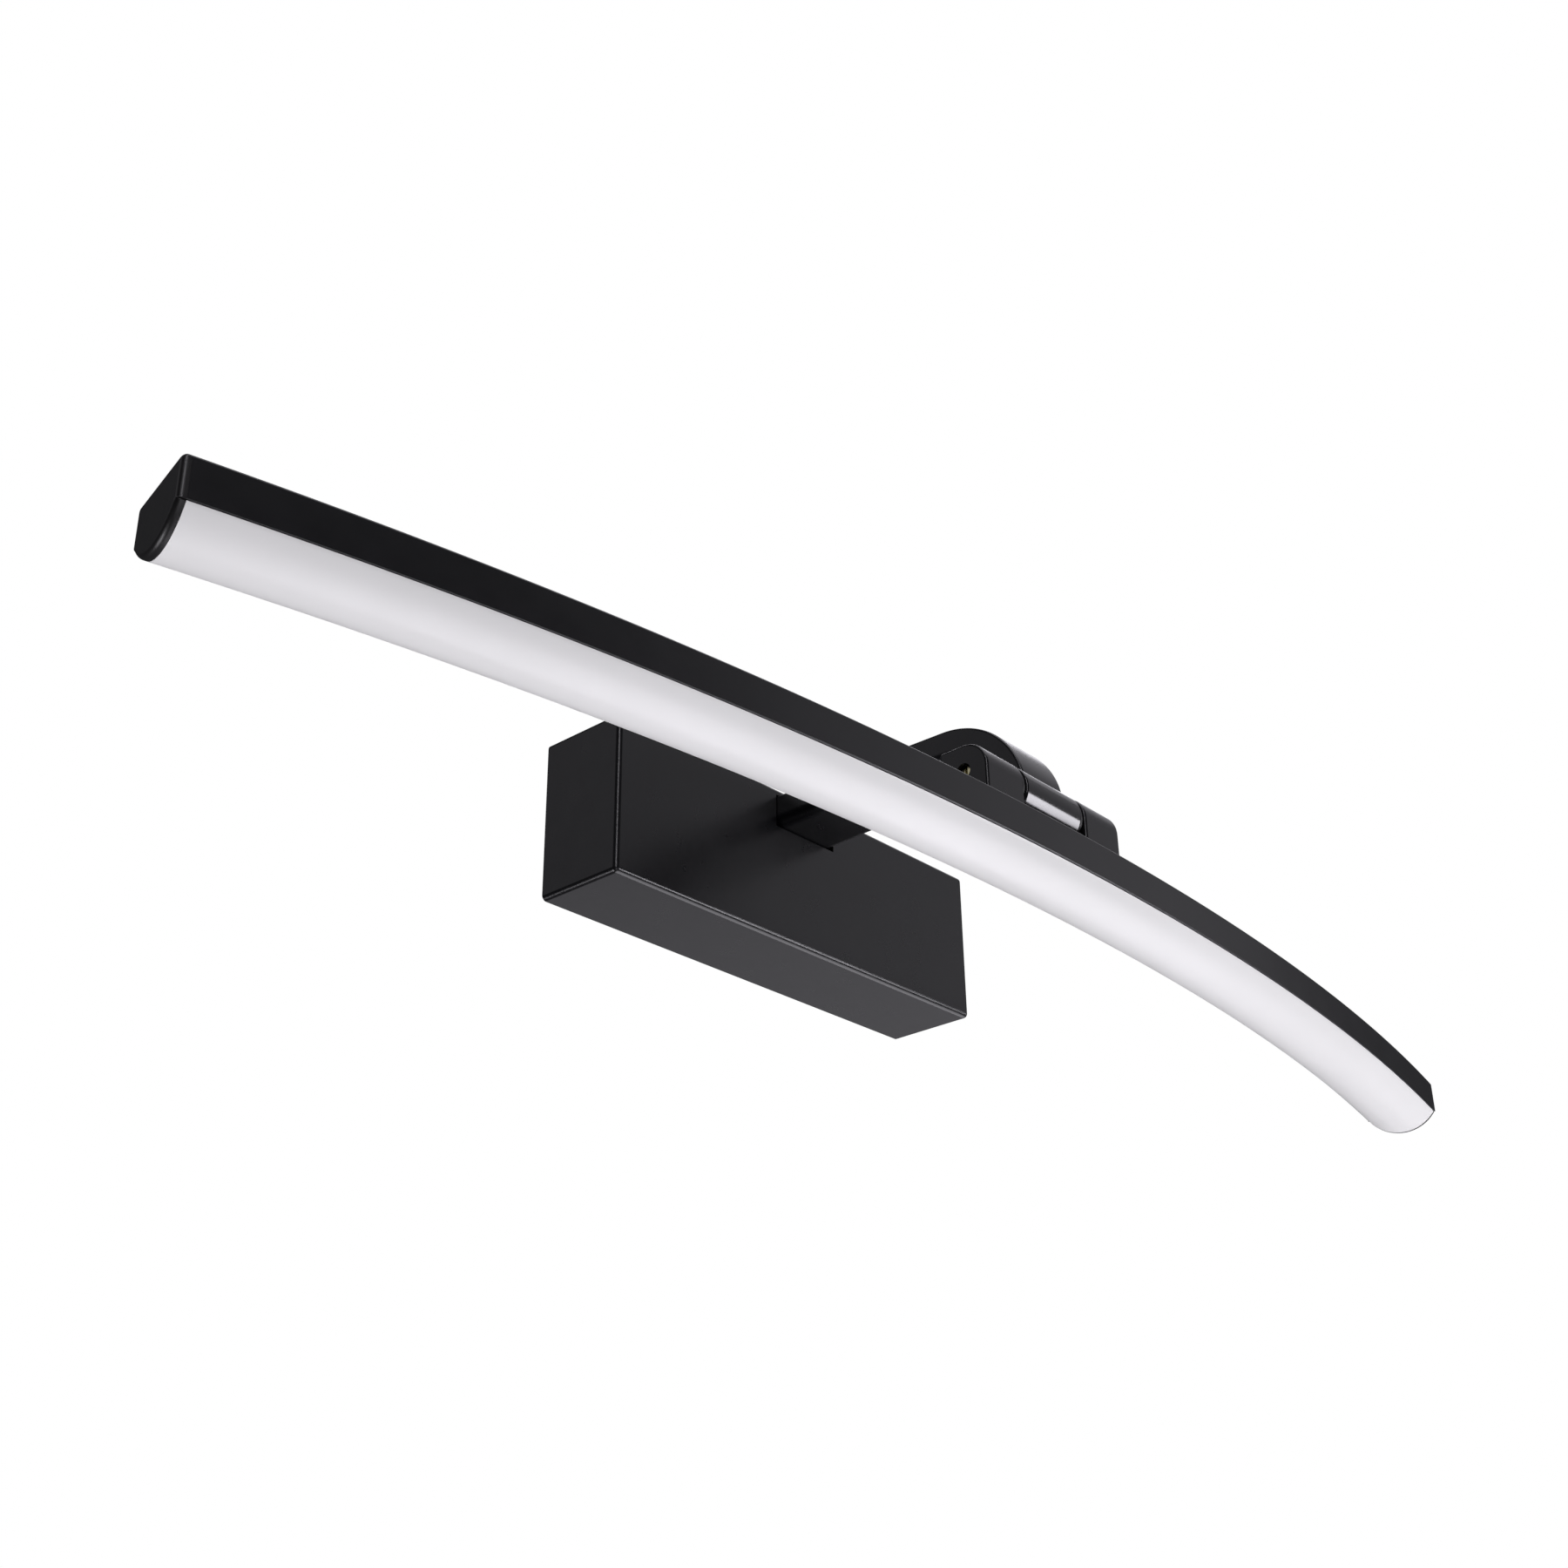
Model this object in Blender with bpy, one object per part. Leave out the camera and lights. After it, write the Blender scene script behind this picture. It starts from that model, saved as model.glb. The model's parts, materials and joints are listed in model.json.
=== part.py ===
"""Wall-mounted picture light: box base, bent flat arm, friction hinge and a curved light bar.

Frame: metres, +Z up, -Y out of the wall, +X to the right as seen from the room.
Origin: centre of the base's wall face. The hinge turns about an axis along X.
"""
import math

import bmesh
import bpy
from mathutils import Matrix, Vector

# Driving dimensions, in metres
GAP = 0.0003                 # clearance left between neighbouring pieces
BASE_W, BASE_H, BASE_D = 0.160, 0.050, 0.030
SHEET = 0.0012               # base cover wall
BASE_EDGE = 0.0016           # radius on the base's outer edges
PLATE_T = 0.0015             # wall plate sheet
PLATE_W, PLATE_H = 0.148, 0.044

COVER_SCREW_X, COVER_SCREW_Y = 0.058, -0.010
WALL_SLOT_X = 0.0672
INLET_X, INLET_Z, INLET_R = -0.026, -0.010, 0.0045
DRIVER_LOW, DRIVER_HIGH = (0.001, -0.0215, -0.0195), (0.052, -PLATE_T - GAP, 0.0085)
BLOCK_LOW, BLOCK_HIGH = (-0.060, -0.0150, -0.0090), (-0.040, -PLATE_T - GAP, 0.0090)

ARM_W, ARM_T = 0.026, 0.010
ARM_END_W = 0.019            # the arm narrows to this width at the hinge
ARM_TOP = 0.0224             # height of the arm's top face
ARM_MID = ARM_TOP - ARM_T / 2
ARM_WALL = 0.0014
ARM_START = -0.0240
BEND_Y, BEND_Z = -0.0920, -0.0050   # centre of the arm's bend
BEND_R = ARM_MID - BEND_Z
BEND_END = 88                # degrees that the bend turns before the barrel
ARM_TOP_EDGE, ARM_LOW_EDGE = 0.0010, 0.0036
LEAD_OUTLET = (0.0, -0.0985, ARM_MID)

HINGE_Y, HINGE_Z = -0.1145, -0.006
BARREL_R = 0.008
BARREL_HALF = 0.013
WASHER_T = 0.001
BOLT_R = 0.002
EAR_IN = BARREL_HALF + WASHER_T + 2 * GAP
EAR_OUT = 0.0315
FOOT_SCREW_Y = HINGE_Y + 0.0045
NUT_R, NUT_WELL = 0.0036, 0.0040

BAR_FRONT = -0.1298          # front of the light bar at its middle
BAR_TOP = -0.0184
BAR_R = 1.245                # radius of the bar's front face, seen from above
BAR_HALF = 0.2667            # half length along the front face, without the end caps
BAR_DEPTH = 0.0245
BAR_SIDE = 0.0106            # height of the channel's side walls
BAR_WALL = 0.0015
CAP_T = 0.0018
DIFFUSER_WALL = 0.0013
SETBACK = 0.0005             # the diffuser's sides stand this far inside the channel's
DROP = 0.0059                # how far the diffuser bulges below its lip
LIP = 0.0002                 # straight edge of the diffuser under the channel's sides
BAR_STEPS = 36
LEAD_HOLE_Y = BAR_FRONT + 0.0204

LED_COUNT = 18
LED_PITCH = 0.0285
LED_HALF = 0.00175


# Helpers ---------------------------------------------------------------------------------------

def clear_scene():
    for obj in list(bpy.data.objects):
        bpy.data.objects.remove(obj, do_unlink=True)


def material(name, color, roughness, metallic=0.0):
    mat = bpy.data.materials.new(name)
    mat.use_nodes = True
    shader = mat.node_tree.nodes["Principled BSDF"]
    shader.inputs["Base Color"].default_value = (*color, 1.0)
    shader.inputs["Roughness"].default_value = roughness
    shader.inputs["Metallic"].default_value = metallic
    return mat


def add_object(name, bm, mat=None, smooth_angle=30):
    bmesh.ops.recalc_face_normals(bm, faces=bm.faces)
    mesh = bpy.data.meshes.new(name)
    bm.to_mesh(mesh)
    bm.free()
    mesh.shade_smooth()
    mesh.set_sharp_from_angle(angle=math.radians(smooth_angle))
    obj = bpy.data.objects.new(name, mesh)
    bpy.context.collection.objects.link(obj)
    if mat:
        mesh.materials.append(mat)
    return obj


def box(name, low, high, mat=None, edge=0.0, segments=2):
    """A block between two corners, with its edges rounded by a Bevel modifier."""
    bm = bmesh.new()
    size = Vector(high) - Vector(low)
    centre = (Vector(high) + Vector(low)) / 2
    bmesh.ops.create_cube(bm, size=1.0, matrix=Matrix.Translation(centre) @ Matrix.Diagonal((*size, 1.0)))
    obj = add_object(name, bm, mat)
    if edge:
        bevel = obj.modifiers.new("Edges", "BEVEL")
        bevel.width = edge
        bevel.segments = segments
        bevel.limit_method = "ANGLE"
    return obj


AXES = {"X": Matrix.Rotation(math.pi / 2, 4, "Y"), "Y": Matrix.Rotation(-math.pi / 2, 4, "X"), "Z": Matrix()}


def turned(name, profile, place, axis="Z", mat=None, steps=20):
    """A solid of revolution; profile lists (radius, height) along the axis from low to high."""
    bm = bmesh.new()
    points = list(profile)
    if points[0][0] > 0:
        points = [(0.0, points[0][1])] + points
    if points[-1][0] > 0:
        points = points + [(0.0, points[-1][1])]
    rings = []
    for radius, height in points:
        count = steps if radius > 0 else 1
        ring = []
        for i in range(count):
            angle = 2 * math.pi * (i + 0.5) / steps
            ring.append(bm.verts.new((radius * math.cos(angle), radius * math.sin(angle), height)))
        rings.append(ring)
    for low, high in zip(rings, rings[1:]):
        for i in range(steps):
            j = (i + 1) % steps
            corners = [low[i % len(low)], low[j % len(low)], high[j % len(high)], high[i % len(high)]]
            bm.faces.new(list(dict.fromkeys(corners)))
    bmesh.ops.transform(bm, matrix=Matrix.Translation(place) @ AXES[axis], verts=bm.verts)
    return add_object(name, bm, mat)


def ring(name, outer, inner, low, high, place, axis="Z", mat=None, steps=24):
    """A flat washer or tube, made as one loop of quads."""
    bm = bmesh.new()
    section = [(inner, low), (outer, low), (outer, high), (inner, high)]
    loops = []
    for i in range(steps):
        angle = 2 * math.pi * (i + 0.5) / steps
        turn = (math.cos(angle), math.sin(angle))
        loops.append([bm.verts.new((r * turn[0], r * turn[1], h)) for r, h in section])
    close_loops(bm, loops)
    bmesh.ops.transform(bm, matrix=Matrix.Translation(place) @ AXES[axis], verts=bm.verts)
    return add_object(name, bm, mat)


def close_loops(bm, loops):
    """Join each section loop to the next, and the last to the first."""
    for now, after in zip(loops, loops[1:] + loops[:1]):
        for a in range(len(now)):
            b = (a + 1) % len(now)
            bm.faces.new((now[a], now[b], after[b], after[a]))


def loft(name, loops, mat=None, smooth_angle=30):
    """A solid through a row of section loops, closed at both ends."""
    bm = bmesh.new()
    rings = [[bm.verts.new(p) for p in points] for points in loops]
    for now, after in zip(rings, rings[1:]):
        for a in range(len(now)):
            b = (a + 1) % len(now)
            bm.faces.new((now[a], now[b], after[b], after[a]))
    bm.faces.new(rings[0])
    bm.faces.new(rings[-1])
    return add_object(name, bm, mat, smooth_angle)


def boolean(obj, tool, operation="DIFFERENCE"):
    tool.hide_render = True
    tool.hide_viewport = True
    tool.display_type = "WIRE"
    mod = obj.modifiers.new(operation.title(), "BOOLEAN")
    mod.operation = operation
    mod.solver = "EXACT"
    mod.object = tool
    return obj


def arc_points(centre, radius, start, end, steps):
    """Points on an arc in the plane of a 2-D section, angles in degrees."""
    points = []
    for i in range(steps + 1):
        angle = math.radians(start + (end - start) * i / steps)
        points.append((centre[0] + radius * math.cos(angle), centre[1] + radius * math.sin(angle)))
    return points


# The light bar's curve -------------------------------------------------------------------------

def bar_point(along, depth, height):
    """A point on the bar: along its front face, behind its front face, and up."""
    angle = along / BAR_R
    radius = BAR_R - depth
    return (radius * math.sin(angle), BAR_FRONT + BAR_R - radius * math.cos(angle), height)


def bar_sweep(name, section, start, end, mat=None, steps=BAR_STEPS, smooth_angle=30):
    loops = []
    for i in range(steps + 1):
        along = start + (end - start) * i / steps
        loops.append([bar_point(along, depth, height) for depth, height in section])
    return loft(name, loops, mat, smooth_angle)


def channel_section():
    low = BAR_TOP - BAR_SIDE
    edge = 0.0008
    back = BAR_DEPTH
    outline = [(0, low)]
    outline += [(x, z) for x, z in arc_points((edge, BAR_TOP - edge), edge, 180, 90, 2)]
    outline += [(x, z) for x, z in arc_points((back - edge, BAR_TOP - edge), edge, 90, 0, 2)]
    outline += [(back, low), (back - BAR_WALL, low)]
    outline += [(back - BAR_WALL, BAR_TOP - BAR_WALL), (BAR_WALL, BAR_TOP - BAR_WALL), (BAR_WALL, low)]
    return outline


def bulge(half, inset=0.0, steps=12):
    """The diffuser's arc-shaped underside, front to back, over a half width; an inset gives its inner face."""
    lip = BAR_TOP - BAR_SIDE - GAP - LIP
    chord = BAR_DEPTH / 2 - SETBACK
    radius = (chord ** 2 + DROP ** 2) / (2 * DROP)
    reach = math.degrees(math.asin(half / (radius - inset)))
    return arc_points((BAR_DEPTH / 2, lip - DROP + radius), radius - inset, 270 - reach, 270 + reach, steps)


def diffuser_section():
    """An open shell: closed underside, and flanges that reach up inside the channel's walls."""
    low = BAR_TOP - BAR_SIDE - GAP
    flange = BAR_WALL + GAP
    inner = flange + DIFFUSER_WALL
    top = low + 0.0046
    back, middle = BAR_DEPTH, BAR_DEPTH / 2
    section = [(SETBACK, low)] + bulge(middle - SETBACK) + [(back - SETBACK, low)]
    section += [(back - flange, low), (back - flange, top), (back - inner, top)]
    section += list(reversed(bulge(middle - inner, DIFFUSER_WALL, 8)))
    section += [(inner, top), (flange, top), (flange, low)]
    return section


# Base ------------------------------------------------------------------------------------------

def build_base(mats):
    half_w, half_h = BASE_W / 2, BASE_H / 2
    cover = box("base_cover", (-half_w, -BASE_D, -half_h), (half_w, 0.006, half_h), mats["black"],
                BASE_EDGE, 3)
    behind = box("cut_behind_wall", (-0.1, 0, -0.05), (0.1, 0.02, 0.05))
    hollow = box("cut_hollow", (-half_w + SHEET, -BASE_D + SHEET, -half_h + SHEET),
                 (half_w - SHEET, 0.01, half_h - SHEET))
    slot = box("cut_arm_slot", (-ARM_W / 2 - GAP, -BASE_D - 0.01, ARM_TOP - ARM_T - GAP),
               (ARM_W / 2 + GAP, -BASE_D + 0.01, ARM_TOP + GAP))
    boolean(cover, behind)
    boolean(cover, hollow)
    boolean(cover, slot)
    for side, x in (("left", -COVER_SCREW_X), ("right", COVER_SCREW_X)):
        hole = turned("cut_cover_hole_" + side, [(0.0017, -0.004), (0.0017, 0.004)],
                      (x, COVER_SCREW_Y, half_h), "Z", steps=16)
        boolean(cover, hole)
        cover_screw("cover_screw_" + side, x, mats)


def cover_screw(name, x, mats):
    """A pan-head screw through the cover's top wall into the wall plate's tab."""
    head = BASE_H / 2 + GAP
    profile = [(0.0014, -0.0055), (0.0014, 0.0), (0.0028, 0.0), (0.0028, 0.0008), (0.0020, 0.0016)]
    screw = turned(name, profile, (x, COVER_SCREW_Y, head), "Z", mats["black_screw"])
    cross_recess(screw, name, (x, COVER_SCREW_Y, head + 0.0016), "Z", 0.0012)


def cross_recess(screw, name, place, axis, half):
    """A plain slot across the screw's head."""
    bm = bmesh.new()
    size = Matrix.Diagonal((2 * half + 0.0006, 0.0007, 0.0016, 1.0))
    bmesh.ops.create_cube(bm, size=1.0, matrix=Matrix.Translation(place) @ AXES[axis] @ size)
    boolean(screw, add_object("cut_" + name, bm))


def build_wall_plate(mats):
    half_w, half_h = PLATE_W / 2, PLATE_H / 2
    plate = box("wall_plate", (-half_w, -PLATE_T, -half_h), (half_w, 0, half_h), mats["zinc"])
    tab_top = BASE_H / 2 - SHEET - GAP
    for side, x in (("left", -COVER_SCREW_X), ("right", COVER_SCREW_X)):
        tab = box("join_tab_" + side, (x - 0.007, -0.0165, tab_top - PLATE_T), (x + 0.007, 0, tab_top))
        foot = box("join_tab_foot_" + side, (x - 0.007, -PLATE_T, half_h - 0.004), (x + 0.007, 0, tab_top))
        lower = box("join_hook_" + side, (x - 0.007, -0.0100, -tab_top), (x + 0.007, 0, -tab_top + PLATE_T))
        heel = box("join_hook_heel_" + side, (x - 0.007, -PLATE_T, -tab_top), (x + 0.007, 0, -half_h + 0.004))
        for piece in (tab, foot, lower, heel):
            boolean(plate, piece, "UNION")
        thread = turned("cut_tab_hole_" + side, [(0.0017, -0.008), (0.0017, 0.004)],
                        (x, COVER_SCREW_Y, tab_top), "Z", steps=16)
        boolean(plate, thread)
        middle = math.copysign(WALL_SLOT_X, x)
        slot = box("cut_wall_slot_" + side, (middle - 0.0045, -0.01, -0.0023),
                   (middle + 0.0045, 0.01, 0.0023))
        boolean(plate, slot)
    inlet = turned("cut_inlet", [(INLET_R + 0.0010 + GAP, -0.01), (INLET_R + 0.0010 + GAP, 0.01)],
                   (INLET_X, 0, INLET_Z), "Y", steps=28)
    boolean(plate, inlet)


def build_grommet(mats):
    """A rubber ring with a groove that grips the wall plate's cable inlet."""
    bm = bmesh.new()
    outer, neck, inner = INLET_R + 0.003, INLET_R + 0.0010, INLET_R
    depth = PLATE_T + GAP
    section = [(inner, 0.0), (neck, 0.0), (neck, -depth), (outer, -depth), (outer, -depth - 0.0018),
               (inner, -depth - 0.0018)]
    loops = []
    steps = 28
    for i in range(steps):
        angle = 2 * math.pi * (i + 0.5) / steps
        loops.append([bm.verts.new((INLET_X + r * math.cos(angle), y, INLET_Z + r * math.sin(angle)))
                      for r, y in section])
    close_loops(bm, loops)
    add_object("cable_grommet", bm, mats["rubber"])


def build_driver(mats):
    """The LED driver: a closed case with two fixing ears, screwed to the wall plate."""
    case = box("driver_case", DRIVER_LOW, DRIVER_HIGH, mats["driver"], 0.0012, 2)
    ear_y = -PLATE_T - GAP
    mid_z = (DRIVER_LOW[2] + DRIVER_HIGH[2]) / 2
    for side, x, sign in (("left", DRIVER_LOW[0], -1), ("right", DRIVER_HIGH[0], 1)):
        end = x + sign * 0.0075
        inner = x - sign * 0.002
        ear = box("join_driver_ear_" + side, (min(end, inner), ear_y - 0.0022, mid_z - 0.0045),
                  (max(end, inner), ear_y, mid_z + 0.0045))
        boolean(case, ear, "UNION")
        centre = x + sign * 0.0040
        hole = turned("cut_driver_hole_" + side, [(0.0017, -0.01), (0.0017, 0.01)],
                      (centre, ear_y, mid_z), "Y", steps=14)
        boolean(case, hole)
        plate_hole = turned("cut_plate_hole_" + side, [(0.0017, -0.01), (0.0017, 0.01)],
                            (centre, 0, mid_z), "Y", steps=14)
        boolean(bpy.data.objects["wall_plate"], plate_hole)
        screw_on_plate("driver_screw_" + side, centre, mid_z, ear_y - 0.0022 - GAP, mats)


def screw_on_plate(name, x, z, head_y, mats):
    """A pan-head screw that points at the wall and stops inside the wall plate."""
    length = -head_y - 0.0004
    profile = [(0.0024, -0.0016), (0.0028, -0.0010), (0.0028, 0.0), (0.0014, 0.0), (0.0014, length)]
    screw = turned(name, profile, (x, head_y, z), "Y", mats["steel"], steps=16)
    cross_recess(screw, name, (x, head_y - 0.0018, z), "Y", 0.0014)


def build_terminals(mats):
    """A two-pole mains terminal block with its clamp screws, and the earth screw beside it."""
    block = box("terminal_block", BLOCK_LOW, BLOCK_HIGH, mats["nylon"], 0.0008, 1)
    for label, z in (("live", 0.0045), ("neutral", -0.0045)):
        place = (BLOCK_LOW[0] + 0.007, BLOCK_LOW[1], z)
        well = turned("cut_clamp_" + label, [(0.0022, -0.002), (0.0022, 0.006)], place, "Y", steps=16)
        boolean(block, well)
        tunnel = box("cut_wire_way_" + label, (BLOCK_LOW[0] + 0.011, -0.0095, z - 0.0016),
                     (BLOCK_HIGH[0] + 0.002, -0.0063, z + 0.0016))
        boolean(block, tunnel)
        screw = turned("clamp_screw_" + label, [(0.0015, 0.0), (0.0019, 0.0004), (0.0019, 0.0045)],
                       (place[0], BLOCK_LOW[1] + 0.0008, z), "Y", mats["brass"], steps=14)
        cross_recess(screw, "clamp_screw_" + label, (place[0], BLOCK_LOW[1] + 0.0008, z), "Y", 0.0012)
    post_x, post_z = -0.031, 0.0130
    hole = turned("cut_earth_hole", [(0.0019, -0.01), (0.0019, 0.01)], (post_x, 0, post_z), "Y", steps=14)
    boolean(bpy.data.objects["wall_plate"], hole)
    ring("earth_washer", 0.0042, 0.0019, -PLATE_T - GAP - 0.0008, -PLATE_T - GAP, (post_x, 0, post_z), "Y",
         mats["steel"], steps=20)
    screw_on_plate("earth_screw", post_x, post_z, -PLATE_T - 2 * GAP - 0.0008, mats)


# Arm -------------------------------------------------------------------------------------------

def arm_section(width, inset):
    """The arm's section as (across, outward), outward being the bend's outer side."""
    half, rise = width / 2 - inset, ARM_T / 2 - inset
    top = max(ARM_TOP_EDGE - inset, 0.0003)
    low = max(ARM_LOW_EDGE - inset, 0.0003)
    points = arc_points((-half + low, -rise + low), low, 180, 270, 4)
    points += arc_points((half - low, -rise + low), low, 270, 360, 4)
    points += arc_points((half - top, rise - top), top, 0, 90, 2)
    points += arc_points((-half + top, rise - top), top, 90, 180, 2)
    return points


def arm_path(start_y, end_angle, steps):
    """Stations along the arm: centre (y, z), outward direction (y, z) and width."""
    root = -BASE_D - 0.002
    straight = root - BEND_Y
    run = straight + BEND_R * math.radians(BEND_END)
    stations = [((start_y, ARM_MID), (0.0, 1.0), ARM_W), ((root, ARM_MID), (0.0, 1.0), ARM_W)]
    for i in range(steps + 1):
        angle = math.radians(end_angle * i / steps)
        out = (-math.sin(angle), math.cos(angle))
        done = min((straight + BEND_R * angle) / run, 1.0)
        width = ARM_W + (ARM_END_W - ARM_W) * done
        stations.append(((BEND_Y + BEND_R * out[0], BEND_Z + BEND_R * out[1]), out, width))
    return stations


def arm_loops(inset, start_y, end_angle, steps=16):
    loops = []
    for (y, z), (out_y, out_z), width in arm_path(start_y, end_angle, steps):
        section = arm_section(width, inset)
        loops.append([(across, y + rise * out_y, z + rise * out_z) for across, rise in section])
    return loops


def build_arm(mats):
    arm = loft("arm", arm_loops(0.0, ARM_START, BEND_END), mats["black"], 25)
    inside = loft("cut_arm_inside", arm_loops(ARM_WALL, ARM_START + 0.01, 60, 12))
    boolean(arm, inside)
    seat = turned("cut_barrel_seat", [(BARREL_R + GAP, -0.02), (BARREL_R + GAP, 0.02)],
                  (0, HINGE_Y, HINGE_Z), "X", steps=48)
    boolean(arm, seat)
    outlet = turned("cut_lead_outlet", [(0.0022, -0.009), (0.0022, -0.001)], LEAD_OUTLET, "Z", steps=16)
    boolean(arm, outlet)
    build_flange(mats)


def build_flange(mats):
    """The plate on the arm's end, inside the cover, held by two nuts on studs."""
    face = -BASE_D + SHEET + GAP
    thick = 0.002
    mid_z = ARM_MID
    plate = box("arm_flange", (-0.024, face, mid_z - 0.0080), (0.024, face + thick, mid_z + 0.0060),
                mats["zinc"])
    hole = box("cut_flange_slot", (-ARM_W / 2 - GAP, face - 0.01, ARM_TOP - ARM_T - GAP),
               (ARM_W / 2 + GAP, face + 0.01, ARM_TOP + GAP))
    boolean(plate, hole)
    for side, x in (("left", -0.0190), ("right", 0.0190)):
        stud_hole = turned("cut_stud_hole_" + side, [(0.0023, -0.01), (0.0023, 0.01)], (x, face, mid_z), "Y",
                           steps=16)
        boolean(plate, stud_hole)
        turned("weld_stud_" + side, [(0.0018, 0.0), (0.0018, 0.0058), (0.0015, 0.0062)],
               (x, face, mid_z), "Y", mats["steel"], steps=16)
        nut("flange_nut_" + side, (x, face + thick + GAP, mid_z), 0.0034, 0.0021, 0.0026, mats["steel"])


def nut(name, place, radius, bore, height, mat, axis="Y"):
    """A hexagon nut whose height runs along the axis from its place."""
    bm = bmesh.new()
    steps = 12
    loops = []
    for i in range(steps):
        angle = 2 * math.pi * i / steps
        flat = radius if i % 2 == 0 else radius * math.cos(math.pi / 6)
        turn = (math.cos(angle), math.sin(angle))
        section = [(bore, 0.0), (flat, 0.0), (flat, height), (bore, height)]
        loops.append([bm.verts.new((r * turn[0], r * turn[1], h)) for r, h in section])
    close_loops(bm, loops)
    bmesh.ops.transform(bm, matrix=Matrix.Translation(place) @ AXES[axis], verts=bm.verts)
    return add_object(name, bm, mat)


# Leads -----------------------------------------------------------------------------------------

def lead(name, points, radius, mat, resolution=2):
    """A round insulated lead along a smooth curve through its points."""
    curve = bpy.data.curves.new(name, "CURVE")
    curve.dimensions = "3D"
    curve.bevel_depth = radius
    curve.bevel_resolution = resolution
    curve.use_fill_caps = True
    smooth = smooth_route([Vector(p) for p in points], 4)
    spline = curve.splines.new("POLY")
    spline.points.add(len(smooth) - 1)
    for point, place in zip(spline.points, smooth):
        point.co = (*place, 1.0)
    curve.materials.append(mat)
    obj = bpy.data.objects.new(name, curve)
    bpy.context.collection.objects.link(obj)
    return obj


def smooth_route(points, steps):
    """Catmull-Rom points through a route."""
    ends = [2 * points[0] - points[1]] + points + [2 * points[-1] - points[-2]]
    route = []
    for i in range(1, len(ends) - 2):
        a, b, c, d = ends[i - 1], ends[i], ends[i + 1], ends[i + 2]
        for k in range(steps):
            t = k / steps
            place = 0.5 * (2 * b + (c - a) * t + (2 * a - 5 * b + 4 * c - d) * t ** 2
                           + (3 * b - a - 3 * c + d) * t ** 3)
            route.append(place)
    route.append(points[-1])
    return route


def build_leads(mats):
    out_z = ARM_MID
    driver_x = DRIVER_LOW[0] - GAP
    lead("mains_lead_live", [(-0.0450, -0.0079, 0.0045), (-0.0380, -0.0079, 0.0045),
                             (-0.0280, -0.0110, 0.0050), (-0.0160, -0.0150, 0.0030),
                             (-0.0060, -0.0150, 0.0000), (driver_x, -0.0150, 0.0000)], 0.0010,
         mats["wire_brown"])
    lead("mains_lead_neutral", [(-0.0450, -0.0079, -0.0045), (-0.0380, -0.0079, -0.0045),
                                (-0.0280, -0.0120, -0.0060), (-0.0160, -0.0170, -0.0100),
                                (-0.0060, -0.0170, -0.0110), (driver_x, -0.0170, -0.0110)], 0.0010,
         mats["wire_blue"])
    lead("output_lead", [(0.0400, -0.0150, DRIVER_HIGH[2] + GAP), (0.0390, -0.0150, 0.0125),
                         (0.0300, -0.0165, 0.0170), (0.0150, -0.0190, out_z), (0.0040, -0.0225, out_z),
                         (0.0, -0.0300, out_z), (0.0, -0.0500, out_z), (0.0, -0.0700, out_z),
                         (0.0, -0.0860, out_z), (0.0, -0.0960, out_z - 0.0002)], 0.0013, mats["wire_black"])
    lead("head_lead", [(0.0, HINGE_Y + 0.0068, HINGE_Z - 0.0077), (0.0, HINGE_Y + 0.0060, HINGE_Z - 0.0090),
                       (0.0, LEAD_HOLE_Y, -0.0170), (0.0, LEAD_HOLE_Y, -0.0198),
                       (0.0016, LEAD_HOLE_Y - 0.0002, -0.0222), (0.0060, LEAD_HOLE_Y - 0.0010, -0.0226),
                       (0.0100, LEAD_HOLE_Y - 0.0030, -0.0226)], 0.0010, mats["wire_black"])
    ring("lead_grommet", 0.0021, 0.0014, BAR_TOP - BAR_WALL, BAR_TOP, (0.0, LEAD_HOLE_Y, 0.0), "Z",
         mats["rubber"], steps=20)


# Hinge -----------------------------------------------------------------------------------------

def build_hinge(mats):
    barrel = turned("hinge_barrel", [(0.0072, -BARREL_HALF), (BARREL_R, -BARREL_HALF + 0.0008),
                                     (BARREL_R, BARREL_HALF - 0.0008), (0.0072, BARREL_HALF)],
                    (0, HINGE_Y, HINGE_Z), "X", mats["gloss_black"], steps=40)
    bore = turned("cut_barrel_bore", [(BOLT_R + GAP, -0.02), (BOLT_R + GAP, 0.02)],
                  (0, HINGE_Y, HINGE_Z), "X", steps=24)
    boolean(barrel, bore)
    for side, sign in (("left", -1), ("right", 1)):
        start = sign * (BARREL_HALF + GAP)
        end = start + sign * WASHER_T
        ring("friction_washer_" + side, 0.0074, BOLT_R + GAP, min(start, end), max(start, end),
             (0, HINGE_Y, HINGE_Z), "X", mats["nylon_black"], steps=32)


def ear_outline(radius, foot):
    """Side view of the bracket as (y, z): rounded about the hinge at the front, square at the back."""
    arch = arc_points((HINGE_Y, HINGE_Z), radius, 180, 90, 10)
    back = HINGE_Y + radius
    return [(HINGE_Y - radius, foot)] + arch + [(back, HINGE_Z + radius), (back, foot)]


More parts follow.
